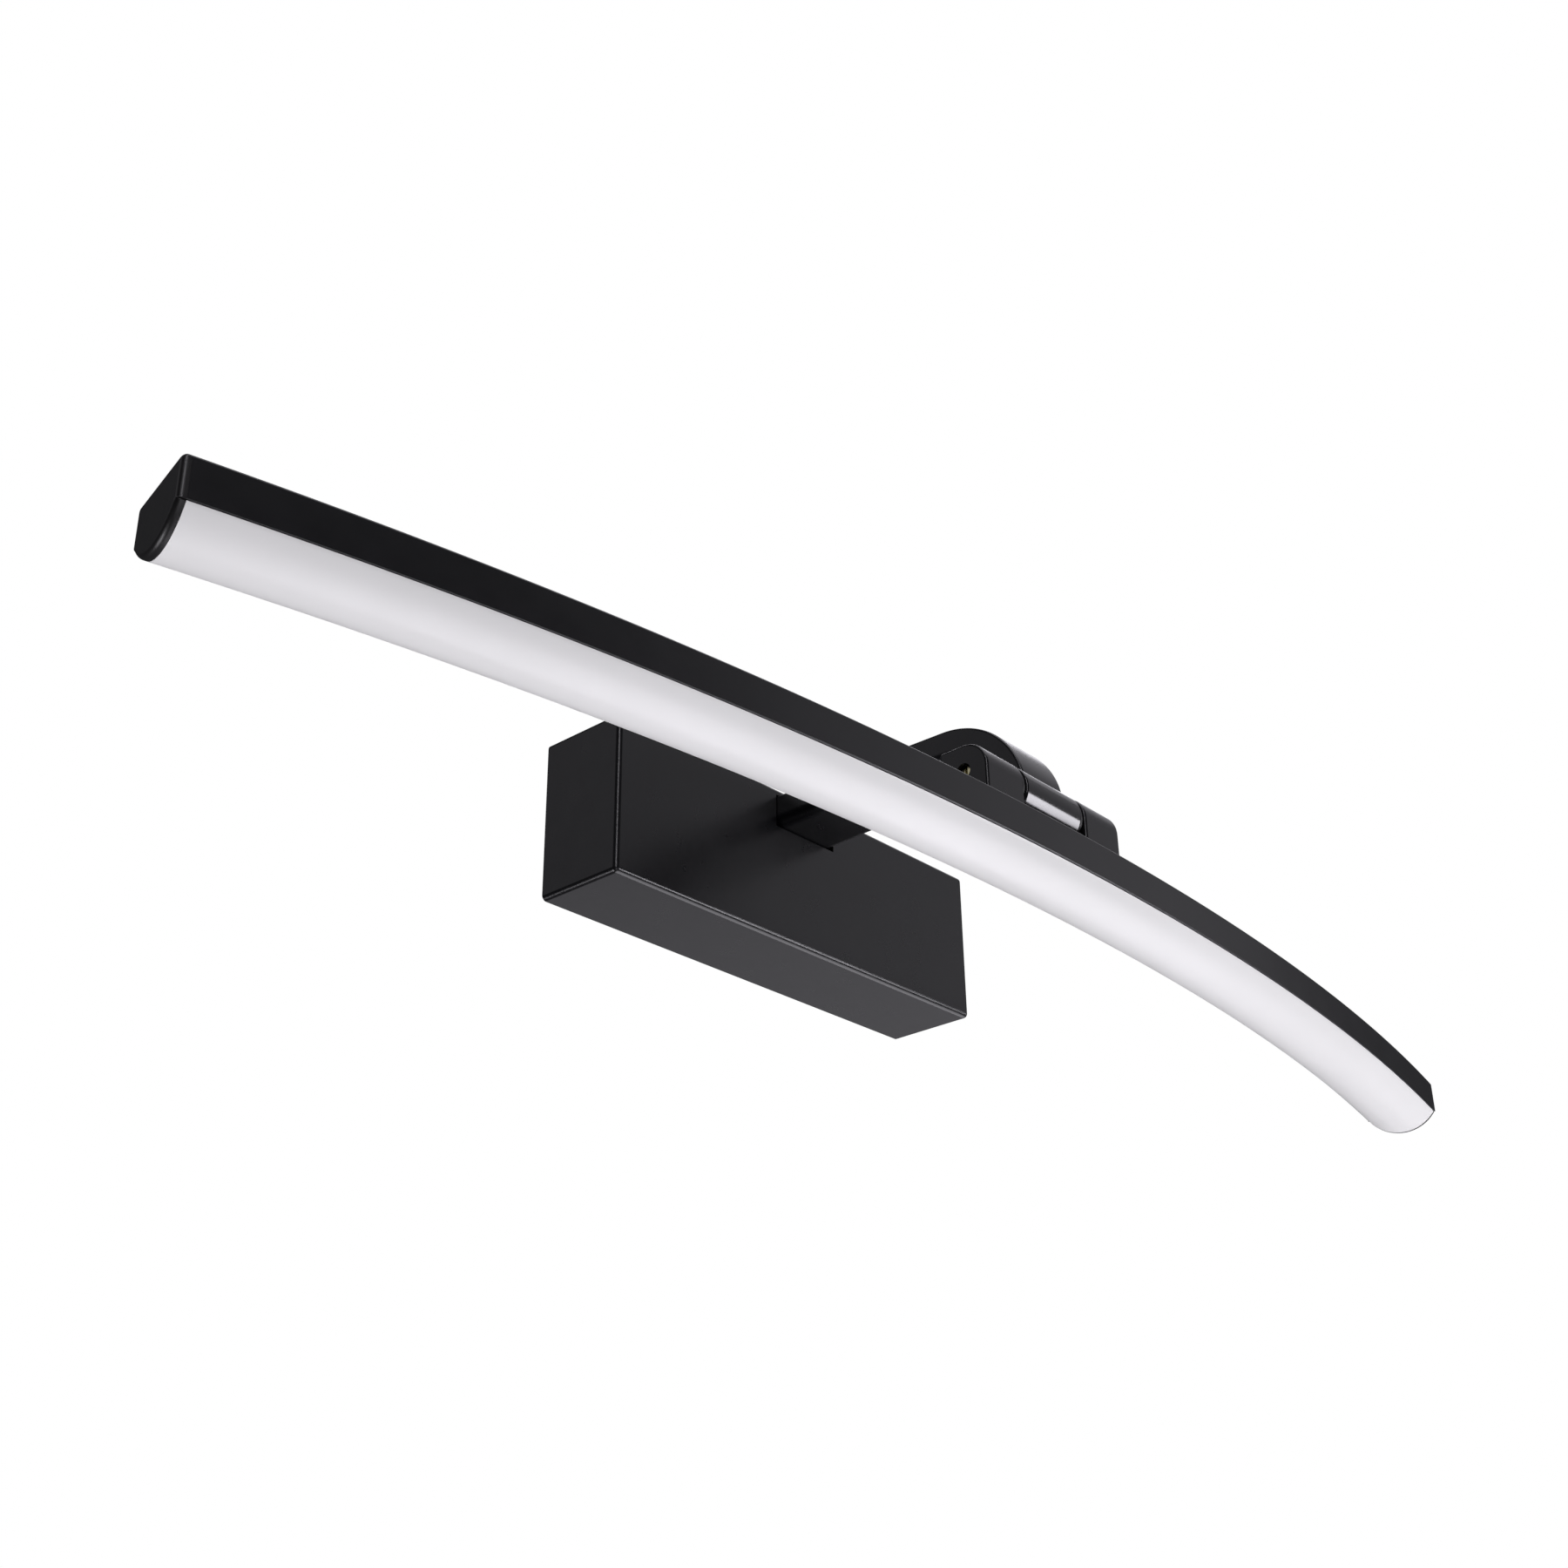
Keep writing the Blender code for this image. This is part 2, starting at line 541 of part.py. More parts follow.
def build_bracket(mats):
    """The clevis: two solid ears joined by a web under the barrel, screwed to the channel."""
    foot = BAR_TOP + GAP
    outline = ear_outline(BARREL_R, foot)
    loops = [[(x, y, z) for y, z in outline] for x in (-EAR_OUT, EAR_OUT)]
    bracket = loft("clevis_bracket", loops, mats["black"])
    edges = bracket.modifiers.new("Edges", "BEVEL")
    edges.width = 0.0009
    edges.segments = 2
    edges.limit_method = "ANGLE"
    edges.angle_limit = math.radians(60)
    web_top = foot + 0.0026
    slot = box("cut_bracket_slot", (-EAR_IN, HINGE_Y - 0.02, web_top), (EAR_IN, HINGE_Y + 0.02, 0.02))
    boolean(bracket, slot)
    notch = box("cut_lead_notch", (-0.0028, LEAD_HOLE_Y - 0.0028, foot - 0.01),
                (0.0028, HINGE_Y + 0.02, web_top + 0.002))
    boolean(bracket, notch)
    bolt_hole = turned("cut_bolt_hole", [(BOLT_R + GAP, -0.04), (BOLT_R + GAP, 0.04)],
                       (0, HINGE_Y, HINGE_Z), "X", steps=24)
    boolean(bracket, bolt_hole)
    well = NUT_R + 2 * GAP
    nut_well = turned("cut_nut_well", [(well, EAR_OUT - NUT_WELL), (well, EAR_OUT + 0.01)],
                      (0, HINGE_Y, HINGE_Z), "X", steps=24)
    boolean(bracket, nut_well)
    build_bolt(mats)
    for side, x in (("left", -0.0225), ("right", 0.0225)):
        hole = turned("cut_foot_hole_" + side, [(0.0017, -0.01), (0.0017, 0.0062)],
                      (x, FOOT_SCREW_Y, foot), "Z", steps=16)
        boolean(bracket, hole)
        channel_hole = turned("cut_channel_hole_" + side, [(0.0019, -0.006), (0.0019, 0.006)],
                              (x, FOOT_SCREW_Y, BAR_TOP), "Z", steps=16)
        boolean(bpy.data.objects["lamp_channel"], channel_hole)
        foot_screw("bracket_screw_" + side, x, mats)


def build_bolt(mats):
    """A headless hinge bolt: its slotted end shows in the left ear, its nut sits in the right one."""
    left = -EAR_OUT + 0.0014
    right = EAR_OUT - 0.0006
    bolt = turned("hinge_bolt", [(0.0014, left), (BOLT_R, left + 0.0005), (BOLT_R, right - 0.0004),
                                 (0.0016, right)], (0, HINGE_Y, HINGE_Z), "X", mats["yellow_zinc"], steps=24)
    bm = bmesh.new()
    size = Matrix.Diagonal((0.0022, 0.0007, 0.006, 1.0))
    bmesh.ops.create_cube(bm, size=1.0, matrix=Matrix.Translation((left, HINGE_Y, HINGE_Z)) @ size)
    boolean(bolt, add_object("cut_bolt_slot", bm))
    floor = EAR_OUT - NUT_WELL
    ring("spring_washer", 0.0034, BOLT_R + GAP, floor + GAP, floor + GAP + 0.0008, (0, HINGE_Y, HINGE_Z), "X",
         mats["steel"], steps=20)
    nut("hinge_nut", (floor + 2 * GAP + 0.0008, HINGE_Y, HINGE_Z), NUT_R, BOLT_R + GAP, 0.0022,
        mats["steel"], "X")


def foot_screw(name, x, mats):
    """A pan-head screw from inside the channel up into an ear."""
    top_of_head = BAR_TOP - BAR_WALL - GAP
    profile = [(0.0020, -0.0016), (0.0026, -0.0010), (0.0026, 0.0), (0.0014, 0.0), (0.0014, 0.0070)]
    screw = turned(name, profile, (x, FOOT_SCREW_Y, top_of_head), "Z", mats["steel"], steps=16)
    cross_recess(screw, name, (x, FOOT_SCREW_Y, top_of_head - 0.0018), "Z", 0.0014)


# Light bar -------------------------------------------------------------------------------------

def build_channel(mats):
    channel = bar_sweep("lamp_channel", channel_section(), -BAR_HALF, BAR_HALF, mats["black"])
    hole = turned("cut_lead_hole", [(0.0024, -0.006), (0.0024, 0.006)], (0.0, LEAD_HOLE_Y, BAR_TOP), "Z",
                  steps=20)
    boolean(channel, hole)


def build_diffuser(mats):
    bar_sweep("diffuser", diffuser_section(), -BAR_HALF, BAR_HALF, mats["opal"])


def cap_outline():
    """The end cap follows the channel's sides, the step under them and the diffuser's underside."""
    edge = 0.0008
    low = BAR_TOP - BAR_SIDE
    outline = arc_points((edge, BAR_TOP - edge), edge, 180, 90, 2)
    outline += arc_points((BAR_DEPTH - edge, BAR_TOP - edge), edge, 90, 0, 2)
    outline += [(BAR_DEPTH, low), (BAR_DEPTH - SETBACK, low)]
    outline += list(reversed(bulge(BAR_DEPTH / 2 - SETBACK)))
    outline += [(SETBACK, low), (0, low)]
    return outline


def build_caps(mats):
    """Push-in end caps: an outer plate with a rounded rim, and a spigot inside the channel."""
    spigot_low = BAR_TOP - BAR_SIDE + 0.0062
    inset = BAR_WALL + GAP
    spigot = [(inset, spigot_low), (inset, BAR_TOP - inset), (BAR_DEPTH - inset, BAR_TOP - inset),
              (BAR_DEPTH - inset, spigot_low)]
    for side, sign in (("left", -1), ("right", 1)):
        start = sign * (BAR_HALF + GAP)
        end = start + sign * CAP_T
        cap = bar_sweep("end_cap_" + side, cap_outline(), start, end, mats["black_plastic"], steps=1)
        rim = cap.modifiers.new("Rim", "BEVEL")
        rim.width = 0.0006
        rim.segments = 2
        rim.limit_method = "ANGLE"
        rim.angle_limit = math.radians(60)
        tongue = bar_sweep("join_spigot_" + side, spigot, start + sign * 0.001, start - sign * 0.009, steps=1)
        boolean(cap, tongue, "UNION")


def build_led_board(mats):
    """A narrow aluminium board on thermal tape under the channel's web, with its LED packages."""
    under = BAR_TOP - BAR_WALL
    middle = BAR_DEPTH / 2 - 0.0025
    board_half = BAR_HALF - 0.0132
    tape_top, tape_low = under - 0.0002, under - 0.0006
    board_top = tape_low - 0.0002
    board_low = board_top - 0.0010
    led_top = board_low - 0.0002

    def strip(half, low, top):
        return [(middle - half, low), (middle - half, top), (middle + half, top), (middle + half, low)]

    bar_sweep("thermal_tape", strip(0.0040, tape_low, tape_top), -board_half, board_half, mats["tape"])
    bar_sweep("led_board", strip(0.0040, board_low, board_top), -board_half, board_half, mats["board"])
    for i in range(LED_COUNT):
        centre = (i - (LED_COUNT - 1) / 2) * LED_PITCH
        bar_sweep("led_package_%02d" % (i + 1), strip(0.0014, led_top - 0.0007, led_top),
                  centre - LED_HALF, centre + LED_HALF, mats["led"], steps=1)


def materials():
    return {
        "black": material("satin_black_powder", (0.017, 0.017, 0.019), 0.42),
        "gloss_black": material("gloss_black", (0.012, 0.012, 0.014), 0.22, 0.3),
        "black_plastic": material("black_plastic", (0.014, 0.014, 0.015), 0.38),
        "black_screw": material("black_screw", (0.02, 0.02, 0.02), 0.35, 0.6),
        "opal": material("opal_acrylic", (0.86, 0.86, 0.87), 0.45),
        "zinc": material("zinc_plated", (0.55, 0.56, 0.58), 0.38, 0.9),
        "steel": material("bright_steel", (0.6, 0.6, 0.6), 0.3, 0.9),
        "yellow_zinc": material("yellow_zinc", (0.62, 0.52, 0.22), 0.3, 0.9),
        "brass": material("brass", (0.72, 0.56, 0.24), 0.3, 0.9),
        "rubber": material("grommet_rubber", (0.03, 0.03, 0.03), 0.8),
        "nylon": material("white_nylon", (0.8, 0.8, 0.78), 0.55),
        "nylon_black": material("black_nylon", (0.015, 0.015, 0.015), 0.6),
        "driver": material("driver_case_white", (0.78, 0.78, 0.76), 0.5),
        "board": material("white_solder_mask", (0.82, 0.82, 0.8), 0.4),
        "tape": material("thermal_tape_grey", (0.5, 0.5, 0.52), 0.7),
        "led": material("led_phosphor", (0.85, 0.75, 0.3), 0.4),
        "wire_brown": material("wire_brown", (0.18, 0.07, 0.03), 0.5),
        "wire_blue": material("wire_blue", (0.03, 0.12, 0.5), 0.5),
        "wire_black": material("wire_black", (0.02, 0.02, 0.02), 0.5),
    }


def main():
    clear_scene()
    mats = materials()
    build_base(mats)
    build_wall_plate(mats)
    build_grommet(mats)
    build_driver(mats)
    build_terminals(mats)
    build_arm(mats)
    build_channel(mats)
    build_diffuser(mats)
    build_caps(mats)
    build_led_board(mats)
    build_hinge(mats)
    build_bracket(mats)
    build_leads(mats)


main()
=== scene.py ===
"""Visual model of a wall-mounted picture light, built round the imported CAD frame.

Metres, in the frame's own axes: +Z up, -Y out of the wall, +X to the right.
"""
import json
import math

import bmesh
import bpy
from mathutils import Matrix, Vector


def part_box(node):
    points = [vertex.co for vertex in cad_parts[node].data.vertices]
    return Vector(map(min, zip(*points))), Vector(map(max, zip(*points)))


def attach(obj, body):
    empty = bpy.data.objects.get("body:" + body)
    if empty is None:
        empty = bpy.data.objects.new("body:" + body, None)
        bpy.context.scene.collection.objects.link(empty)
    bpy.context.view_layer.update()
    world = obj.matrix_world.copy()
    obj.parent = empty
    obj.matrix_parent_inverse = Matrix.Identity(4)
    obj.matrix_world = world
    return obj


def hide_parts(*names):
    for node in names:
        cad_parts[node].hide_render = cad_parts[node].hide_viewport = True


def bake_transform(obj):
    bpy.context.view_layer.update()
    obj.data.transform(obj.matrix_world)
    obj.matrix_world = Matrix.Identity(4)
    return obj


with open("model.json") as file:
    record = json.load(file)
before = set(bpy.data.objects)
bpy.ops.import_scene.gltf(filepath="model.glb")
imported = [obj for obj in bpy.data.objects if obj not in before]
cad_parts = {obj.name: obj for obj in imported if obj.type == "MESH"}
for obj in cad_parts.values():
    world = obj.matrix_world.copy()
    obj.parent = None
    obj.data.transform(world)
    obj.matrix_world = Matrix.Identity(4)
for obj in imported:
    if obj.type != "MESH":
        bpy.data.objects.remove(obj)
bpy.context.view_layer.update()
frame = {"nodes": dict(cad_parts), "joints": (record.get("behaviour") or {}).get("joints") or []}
joint = frame["joints"][0]
HINGE = Vector(joint["pos_m"])

# Sizes that the frame's boxes don't give, in metres
BAR_RADIUS = 1.245           # front face of the light bar, seen from above
BAR_DEPTH = 0.0245
BAR_WALL = 0.0015
BAR_STEPS = 180
BAR_SIDE = 0.0106
SHEET = 0.0012               # base cover wall
COVER_EDGE = 0.0016
ARM_THICK = 0.0100
ARM_END_WIDTH = 0.019        # the arm narrows to this at the hinge
ARM_WALL = 0.0014
ARM_BEND = (-0.0920, -0.0050)   # centre of the arm's bend, as (y, z)
ARM_BEND_END = 88            # degrees
ARM_TOP_EDGE, ARM_LOW_EDGE = 0.0009, 0.0037
SETBACK = 0.0005             # the diffuser's sides stand this far inside the channel's
DROP = 0.0059                # how far the diffuser bulges below its lip
SEAM = 0.0003                # running gap between neighbouring pieces
BAR_EDGE = 0.0008            # radius on the bar's top edges
DIFFUSER_WALL = 0.0013
DIFFUSER_LIP = 0.0002        # straight edge of the diffuser under the channel's sides
DIFFUSER_GAP = 0.00012       # dark line between channel and diffuser
FLANGE_RISE = 0.0046         # how far the diffuser's flanges reach up inside the channel
BOLT_BORE = 0.0023           # radius of the holes that the hinge bolt passes through
LEAD_OUTLET_Y = -0.0985      # where the lead leaves the arm's underside
LEAD_RADIUS = 0.0011
LIT_POINT = (0.0, -0.07, 0.0)   # the soft boxes face this point
FLOOR_RADIUS, FLOOR_HEIGHT = 3.0, -1.5


# Mesh helpers ----------------------------------------------------------------------------------

def mesh_object(name, bm):
    bmesh.ops.recalc_face_normals(bm, faces=bm.faces)
    mesh = bpy.data.meshes.new(name)
    bm.to_mesh(mesh)
    bm.free()
    obj = bpy.data.objects.new(name, mesh)
    bpy.context.scene.collection.objects.link(obj)
    return obj


def apply_modifiers(obj):
    """Bakes the object's modifiers into its mesh."""
    bpy.context.view_layer.update()
    evaluated = obj.evaluated_get(bpy.context.evaluated_depsgraph_get())
    mesh = bpy.data.meshes.new_from_object(evaluated)
    obj.modifiers.clear()
    old = obj.data
    obj.data = mesh
    bpy.data.meshes.remove(old)
    mesh.name = obj.name
    return obj


def carve(obj, *tools):
    """Cuts the tools out of the object and removes them."""
    for tool in tools:
        mod = obj.modifiers.new("Carve", "BOOLEAN")
        mod.operation = "DIFFERENCE"
        mod.solver = "EXACT"
        mod.object = tool
        apply_modifiers(obj)
        bpy.data.objects.remove(tool, do_unlink=True)
    return obj


def soften(obj, width, segments=4, angle=40):
    """Rounds the object's sharp edges."""
    mod = obj.modifiers.new("Soften", "BEVEL")
    mod.width = width
    mod.segments = segments
    mod.limit_method = "ANGLE"
    mod.angle_limit = math.radians(angle)
    return apply_modifiers(obj)


def shade(obj, angle=32):
    """Smooth shading that keeps flat faces flat beside their rounded edges."""
    obj.data.shade_smooth()
    obj.data.set_sharp_from_angle(angle=math.radians(angle))
    mod = obj.modifiers.new("Flat faces first", "WEIGHTED_NORMAL")
    mod.keep_sharp = True
    return apply_modifiers(obj)


def finish_piece(obj, mat, body, nodes=(), angle=32):
    """Material, shading, body and bookkeeping for one finished piece."""
    obj.data.materials.clear()
    obj.data.materials.append(mat)
    shade(obj, angle)
    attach(obj, body)
    if nodes:
        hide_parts(*nodes)
    return obj


def block(name, low, high):
    bm = bmesh.new()
    low, high = Vector(low), Vector(high)
    place = Matrix.Translation((low + high) / 2) @ Matrix.Diagonal((*(high - low), 1.0))
    bmesh.ops.create_cube(bm, size=1.0, matrix=place)
    return mesh_object(name, bm)


def loft(name, loops):
    """A solid through a row of section loops, closed at both ends."""
    bm = bmesh.new()
    rings = [[bm.verts.new(p) for p in points] for points in loops]
    for now, after in zip(rings, rings[1:]):
        for a in range(len(now)):
            b = (a + 1) % len(now)
            bm.faces.new((now[a], now[b], after[b], after[a]))
    bm.faces.new(rings[0])
    bm.faces.new(rings[-1])
    return mesh_object(name, bm)


AXES = {"X": Matrix.Rotation(math.pi / 2, 4, "Y"), "Y": Matrix.Rotation(-math.pi / 2, 4, "X"), "Z": Matrix()}


def turned(name, profile, place, axis="Z", steps=64):
    """A solid of revolution; profile lists (radius, height) along the axis.

    It is a ring if the profile ends where it starts.
    """
    closed = profile[0] == profile[-1]
    if closed:
        points = list(profile[:-1])
    else:
        points = [(0.0, profile[0][1])] + list(profile) + [(0.0, profile[-1][1])]
    bm = bmesh.new()
    rings = []
    for radius, height in points:
        count = steps if radius > 0 else 1
        turns = [2 * math.pi * i / steps for i in range(count)]
        rings.append([bm.verts.new((radius * math.cos(t), radius * math.sin(t), height)) for t in turns])
    pairs = list(zip(rings, rings[1:] + rings[:1])) if closed else list(zip(rings, rings[1:]))
    for low, high in pairs:
        for i in range(steps):
            j = (i + 1) % steps
            corners = [low[i % len(low)], low[j % len(low)], high[j % len(high)], high[i % len(high)]]
            corners = list(dict.fromkeys(corners))
            if len(corners) > 2:
                bm.faces.new(corners)
    bmesh.ops.transform(bm, matrix=Matrix.Translation(place) @ AXES[axis], verts=bm.verts)
    return mesh_object(name, bm)


def arc(centre, radius, start, end, steps):
    """Points on an arc of a 2-D outline, angles in degrees."""
    turns = [math.radians(start + (end - start) * i / steps) for i in range(steps + 1)]
    return [(centre[0] + radius * math.cos(t), centre[1] + radius * math.sin(t)) for t in turns]


def smooth_route(points, steps):
    """Catmull-Rom points through a route."""
    route = [Vector(p) for p in points]
    ends = [2 * route[0] - route[1]] + route + [2 * route[-1] - route[-2]]
    smooth = []
    for a, b, c, d in zip(ends, ends[1:], ends[2:], ends[3:]):
        for k in range(steps):
            t = k / steps
            smooth.append(0.5 * (2 * b + (c - a) * t + (2 * a - 5 * b + 4 * c - d) * t ** 2
                                 + (3 * b - a - 3 * c + d) * t ** 3))
    return smooth + [route[-1]]


def tube(name, points, radius, sides=20, steps=8):
    """A round tube along a smooth route, without twist."""
    route = smooth_route(points, steps)
    normal = Vector((1, 0, 0)) if abs((route[1] - route[0]).normalized().x) < 0.9 else Vector((0, 1, 0))
    loops = []
    for i, place in enumerate(route):
        along = (route[min(i + 1, len(route) - 1)] - route[max(i - 1, 0)]).normalized()
        normal = (normal - along * normal.dot(along)).normalized()
        side = along.cross(normal)
        turns = [2 * math.pi * k / sides for k in range(sides)]
        loops.append([place + radius * (normal * math.cos(t) + side * math.sin(t)) for t in turns])
    return loft(name, loops)


# Materials -------------------------------------------------------------------------------------

def new_material(name):
    mat = bpy.data.materials.new(name)
    mat.use_nodes = True
    return mat, mat.node_tree, mat.node_tree.nodes["Principled BSDF"]


def noise(tree, scale, detail=4.0, roughness=0.55, stretch=(1, 1, 1)):
    """Noise in object space; scale is in features per metre."""
    coords = tree.nodes.new("ShaderNodeTexCoord")
    mapping = tree.nodes.new("ShaderNodeMapping")
    mapping.inputs["Scale"].default_value = stretch
    texture = tree.nodes.new("ShaderNodeTexNoise")
    texture.inputs["Scale"].default_value = scale
    texture.inputs["Detail"].default_value = detail
    texture.inputs["Roughness"].default_value = roughness
    tree.links.new(coords.outputs["Object"], mapping.inputs["Vector"])
    tree.links.new(mapping.outputs["Vector"], texture.inputs["Vector"])
    return texture.outputs["Fac"]


def ranged(tree, value, low, high, start=0.3, end=0.7):
    """Maps a noise value to a range of numbers."""
    node = tree.nodes.new("ShaderNodeMapRange")
    node.inputs["From Min"].default_value = start
    node.inputs["From Max"].default_value = end
    node.inputs["To Min"].default_value = low
    node.inputs["To Max"].default_value = high
    tree.links.new(value, node.inputs["Value"])
    return node.outputs["Result"]


def tinted(tree, value, dark, light):
    """Mixes two colours by a noise value."""
    ramp = tree.nodes.new("ShaderNodeValToRGB")
    ramp.color_ramp.elements[0].position = 0.32
    ramp.color_ramp.elements[0].color = (*dark, 1.0)
    ramp.color_ramp.elements[1].position = 0.68
    ramp.color_ramp.elements[1].color = (*light, 1.0)
    tree.links.new(value, ramp.inputs["Fac"])
    return ramp.outputs["Color"]


def bumped(tree, shader, heights):
    """Adds bump layers to a shader; heights lists (value, distance in metres, strength)."""
    normal = None
    for value, distance, strength in heights:
        bump = tree.nodes.new("ShaderNodeBump")
        bump.inputs["Distance"].default_value = distance
        bump.inputs["Strength"].default_value = strength
        tree.links.new(value, bump.inputs["Height"])
        if normal:
            tree.links.new(normal, bump.inputs["Normal"])
        normal = bump.outputs["Normal"]
    tree.links.new(normal, shader.inputs["Normal"])


def powder_coat(name, dark, light, rough=(0.27, 0.30), texture=0.12):
    """Satin powder coat: a fine orange-peel skin with slight gloss changes."""
    mat, tree, shader = new_material(name)
    tree.links.new(tinted(tree, noise(tree, 60), dark, light), shader.inputs["Base Color"])
    tree.links.new(ranged(tree, noise(tree, 140, 6), *rough), shader.inputs["Roughness"])
    shader.inputs["Specular IOR Level"].default_value = 0.5
    bumped(tree, shader, [(noise(tree, 900, 3), 0.00002, texture), (noise(tree, 3200, 2), 0.000005, texture)])
    return mat


def moulded_plastic(name, dark, light, rough, grain=2500, depth=0.00001):
    mat, tree, shader = new_material(name)
    tree.links.new(tinted(tree, noise(tree, 90), dark, light), shader.inputs["Base Color"])
    tree.links.new(ranged(tree, noise(tree, 300, 5), *rough), shader.inputs["Roughness"])
    bumped(tree, shader, [(noise(tree, grain, 3), depth, 0.5)])
    return mat


def opal_acrylic(name):
    """Satin opal: milky, with a faint cloudiness and a very fine matte skin."""
    mat, tree, shader = new_material(name)
    tree.links.new(tinted(tree, noise(tree, 18, 3), (0.870, 0.872, 0.850), (0.895, 0.897, 0.876)),
                   shader.inputs["Base Color"])
    tree.links.new(ranged(tree, noise(tree, 220, 5), 0.30, 0.40), shader.inputs["Roughness"])
    shader.inputs["Specular IOR Level"].default_value = 0.4
    bumped(tree, shader, [(noise(tree, 2600, 3), 0.000006, 0.4)])
    return mat


def plated_metal(name, dark, light, rough, stretch=(1, 1, 1)):
    mat, tree, shader = new_material(name)
    grain = noise(tree, 500, 8, 0.65, stretch)
    tree.links.new(tinted(tree, noise(tree, 120, 6), dark, light), shader.inputs["Base Color"])
    tree.links.new(ranged(tree, grain, *rough), shader.inputs["Roughness"])
    shader.inputs["Metallic"].default_value = 1.0
    bumped(tree, shader, [(grain, 0.00001, 0.35)])
    return mat


def rubbery(name, dark, light, rough=(0.55, 0.75)):
    mat, tree, shader = new_material(name)
    tree.links.new(tinted(tree, noise(tree, 250), dark, light), shader.inputs["Base Color"])
    tree.links.new(ranged(tree, noise(tree, 400, 5), *rough), shader.inputs["Roughness"])
    shader.inputs["Specular IOR Level"].default_value = 0.35
    bumped(tree, shader, [(noise(tree, 2000, 4), 0.00001, 0.4)])
    return mat


MATS = {
    "black": powder_coat("satin_black_powder", (0.0022, 0.0022, 0.0030), (0.0030, 0.0030, 0.0040)),
    "bar": powder_coat("bar_black_powder", (0.0028, 0.0028, 0.0036), (0.0040, 0.0040, 0.0050),
                       (0.31, 0.34), 0.10),
    "barrel": powder_coat("gloss_black", (0.0040, 0.0040, 0.0048), (0.0055, 0.0055, 0.0062),
                          (0.15, 0.18), 0.02),
    "cap": moulded_plastic("black_plastic", (0.0046, 0.0044, 0.0046), (0.0062, 0.0060, 0.0062), (0.34, 0.42)),
    "opal": opal_acrylic("opal_acrylic"),
    "screw_black": plated_metal("black_oxide", (0.030, 0.030, 0.032), (0.050, 0.050, 0.052), (0.30, 0.42)),
    "zinc": plated_metal("zinc_plated", (0.50, 0.51, 0.53), (0.60, 0.61, 0.63), (0.28, 0.42), (1, 1, 8)),
    "steel": plated_metal("bright_steel", (0.56, 0.56, 0.57), (0.66, 0.66, 0.66), (0.22, 0.34)),
    "yellow_zinc": plated_metal("yellow_zinc", (0.62, 0.55, 0.30), (0.76, 0.72, 0.46), (0.20, 0.32)),
    "brass": plated_metal("brass", (0.66, 0.50, 0.20), (0.78, 0.60, 0.28), (0.24, 0.36)),
    "rubber": rubbery("grommet_rubber", (0.020, 0.020, 0.020), (0.034, 0.034, 0.034)),
    "nylon_black": moulded_plastic("black_nylon", (0.010, 0.010, 0.010), (0.014, 0.014, 0.014), (0.50, 0.60)),
    "nylon": moulded_plastic("white_nylon", (0.74, 0.74, 0.71), (0.82, 0.82, 0.79), (0.45, 0.58)),
    "driver": moulded_plastic("driver_white", (0.74, 0.74, 0.72), (0.80, 0.80, 0.78),
                              (0.45, 0.60), 1600, 0.00003),
    "wire_brown": rubbery("wire_brown", (0.15, 0.055, 0.022), (0.19, 0.075, 0.032), (0.35, 0.50)),
    "wire_blue": rubbery("wire_blue", (0.025, 0.10, 0.42), (0.035, 0.13, 0.50), (0.35, 0.50)),
    "wire_black": rubbery("wire_black", (0.014, 0.014, 0.014), (0.020, 0.020, 0.020), (0.35, 0.48)),
    "board": moulded_plastic("white_solder_mask", (0.80, 0.80, 0.78), (0.86, 0.86, 0.84), (0.30, 0.42)),
    "tape": rubbery("thermal_tape", (0.44, 0.44, 0.46), (0.52, 0.52, 0.54)),
    "phosphor": moulded_plastic("led_phosphor", (0.78, 0.66, 0.22), (0.88, 0.76, 0.32), (0.35, 0.50)),
}


# Base ------------------------------------------------------------------------------------------

def base_cover():
    """A folded sheet box with rounded edges, open at the wall and slotted for the arm."""
    low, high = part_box("base_cover")
    arm_low, arm_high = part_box("arm")
    beyond = 0.006
    cover = block("base_cover_shell", low, (high.x, high.y + beyond, high.z))
    soften(cover, COVER_EDGE, 6)
    wall = Vector((SHEET, SHEET, SHEET))
    inside = block("inside", low + wall, (high.x - SHEET, high.y + 2 * beyond, high.z - SHEET))
    soften(inside, 0.0006, 2)
    behind = block("behind", (low.x * 2, high.y, low.z * 2), (high.x * 2, high.y + 3 * beyond, high.z * 2))
    slot = block("slot", (arm_low.x - SEAM, low.y - beyond, arm_high.z - ARM_THICK - SEAM),
                 (arm_high.x + SEAM, low.y + beyond, arm_high.z + SEAM))
    carve(cover, inside, behind, slot)
    for side in ("left", "right"):
        carve(cover, screw_hole("cover_screw_" + side, high.z))
    finish_piece(cover, MATS["black"], "base", ["base_cover"], 40)


def centre_of(node):
    low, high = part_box(node)
    return (low + high) / 2


def screw_hole(node, height):
    middle = centre_of(node)
    return turned("hole", [(0.0017, -0.004), (0.0017, 0.004)], (middle.x, middle.y, height), "Z", 32)


def cross_recess(name, place, axis, size=0.0026, depth=0.0009):
    """A tapered cross-shaped driver recess, cut down into a screw head along -axis."""
    tools = []
    for turn in (0, math.pi / 2):
        bm = bmesh.new()
        bmesh.ops.create_cube(bm, size=1.0, matrix=Matrix.Diagonal((size, size * 0.22, 2 * depth, 1.0)))
        for vert in bm.verts:
            if vert.co.z < 0:
                vert.co.x *= 0.35
        spin = Matrix.Rotation(turn, 4, "Z")
        bmesh.ops.transform(bm, matrix=Matrix.Translation(place) @ AXES[axis] @ spin, verts=bm.verts)
        tools.append(mesh_object(name + "_recess", bm))
    return tools


